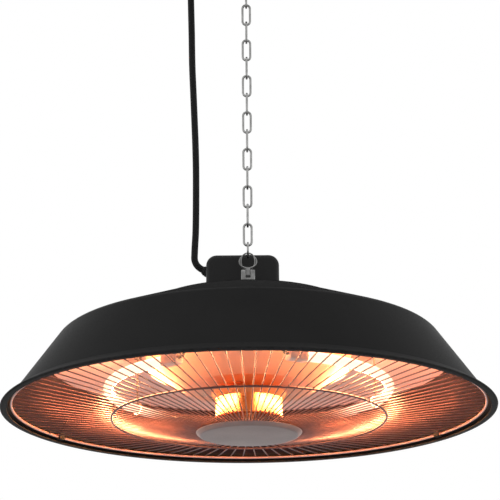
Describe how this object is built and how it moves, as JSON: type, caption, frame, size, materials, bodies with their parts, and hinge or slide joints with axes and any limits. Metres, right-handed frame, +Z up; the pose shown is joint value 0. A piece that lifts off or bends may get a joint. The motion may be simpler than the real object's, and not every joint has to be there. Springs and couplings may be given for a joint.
{
  "type": "hanging patio heater",
  "caption": "Hanging outdoor heater: wide charcoal shade with a glowing ring tube behind a round wire grille, hung on a chain from a ceiling plate.",
  "frame": {"origin": "middle of the ceiling plate's top face, where it meets the ceiling", "axes": "+Z up into the ceiling, -Y towards the side that faces the viewer in the picture, +X to that viewer's right"},
  "size_m": [0.49, 0.49, 0.5627],
  "materials": {
    "charcoal_paint": "satin charcoal paint",
    "black_plastic": "matt dark grey plastic",
    "zinc_steel": "bright zinc",
    "polished_aluminium": "polished",
    "grille_steel": "taupe metallic lacquer",
    "white_ceramic": "fired ceramic",
    "quartz": "clear quartz, glowing",
    "filament_metal": "glowing wire",
    "insulation": "glass-silk sleeve",
    "braided_cord": "black textile braid"
  },
  "bodies": {
    "ceiling": {"ceiling_plate": "charcoal_paint", "ceiling_hook": "zinc_steel", "ceiling_hook_nut": "zinc_steel", "ceiling_cord_grip": "black_plastic", "power_cord_upper": "braided_cord"},
    "chain": {"chain_link_01": "zinc_steel", "chain_link_02": "zinc_steel", "chain_link_03": "zinc_steel", "chain_link_04": "zinc_steel", "chain_link_05": "zinc_steel", "chain_link_06": "zinc_steel", "chain_link_07": "zinc_steel", "chain_link_08": "zinc_steel", "chain_link_09": "zinc_steel", "chain_link_10": "zinc_steel", "chain_link_11": "zinc_steel", "chain_link_12": "zinc_steel", "chain_link_13": "zinc_steel", "chain_link_14": "zinc_steel", "chain_link_15": "zinc_steel", "connecting_ring": "zinc_steel", "hanger_eye": "zinc_steel"},
    "heater": {"hanger_clevis": "zinc_steel", "hanger_pin": "zinc_steel", "hanger_nut": "zinc_steel", "reflector_nut": "zinc_steel", "shade_shell": "charcoal_paint", "top_cap": "charcoal_paint", "cap_screw_1": "charcoal_paint", "cap_screw_2": "charcoal_paint", "cap_screw_3": "charcoal_paint", "terminal_housing": "black_plastic", "housing_screw_left": "zinc_steel", "housing_screw_right": "zinc_steel", "cord_gland": "black_plastic", "terminal_block": "white_ceramic", "thermal_cutout": "insulation", "supply_lead": "insulation", "power_cord_lower": "braided_cord", "reflector": "polished_aluminium", "reflector_spacer_1": "white_ceramic", "reflector_spacer_2": "white_ceramic", "reflector_spacer_3": "white_ceramic", "heating_tube": "quartz", "heating_filament": "filament_metal", "tube_end_left": "white_ceramic", "tube_end_right": "white_ceramic", "end_bracket_left": "zinc_steel", "end_bracket_right": "zinc_steel", "tube_clip_left": "zinc_steel", "tube_clip_right": "zinc_steel", "tube_lead_left": "insulation", "tube_lead_right": "insulation", "grille": "grille_steel", "grille_disc": "grille_steel", "hub_screw": "zinc_steel", "grille_clip_1": "charcoal_paint", "grille_clip_2": "charcoal_paint", "grille_clip_3": "charcoal_paint"}
  },
  "joints": [
    {"name": "chain_swing", "type": "hinge", "parent": "ceiling", "child": "chain", "pos_m": [0, 0, -0.0515], "axis": [0, 1, 0], "range_deg": [-10, 10], "deforming": ["power_cord_upper"]},
    {"name": "heater_tilt", "type": "hinge", "parent": "chain", "child": "heater", "pos_m": [0, 0, -0.3955], "axis": [1, 0, 0], "range_deg": [-20, 20], "deforming": ["power_cord_lower"]}
  ]
}
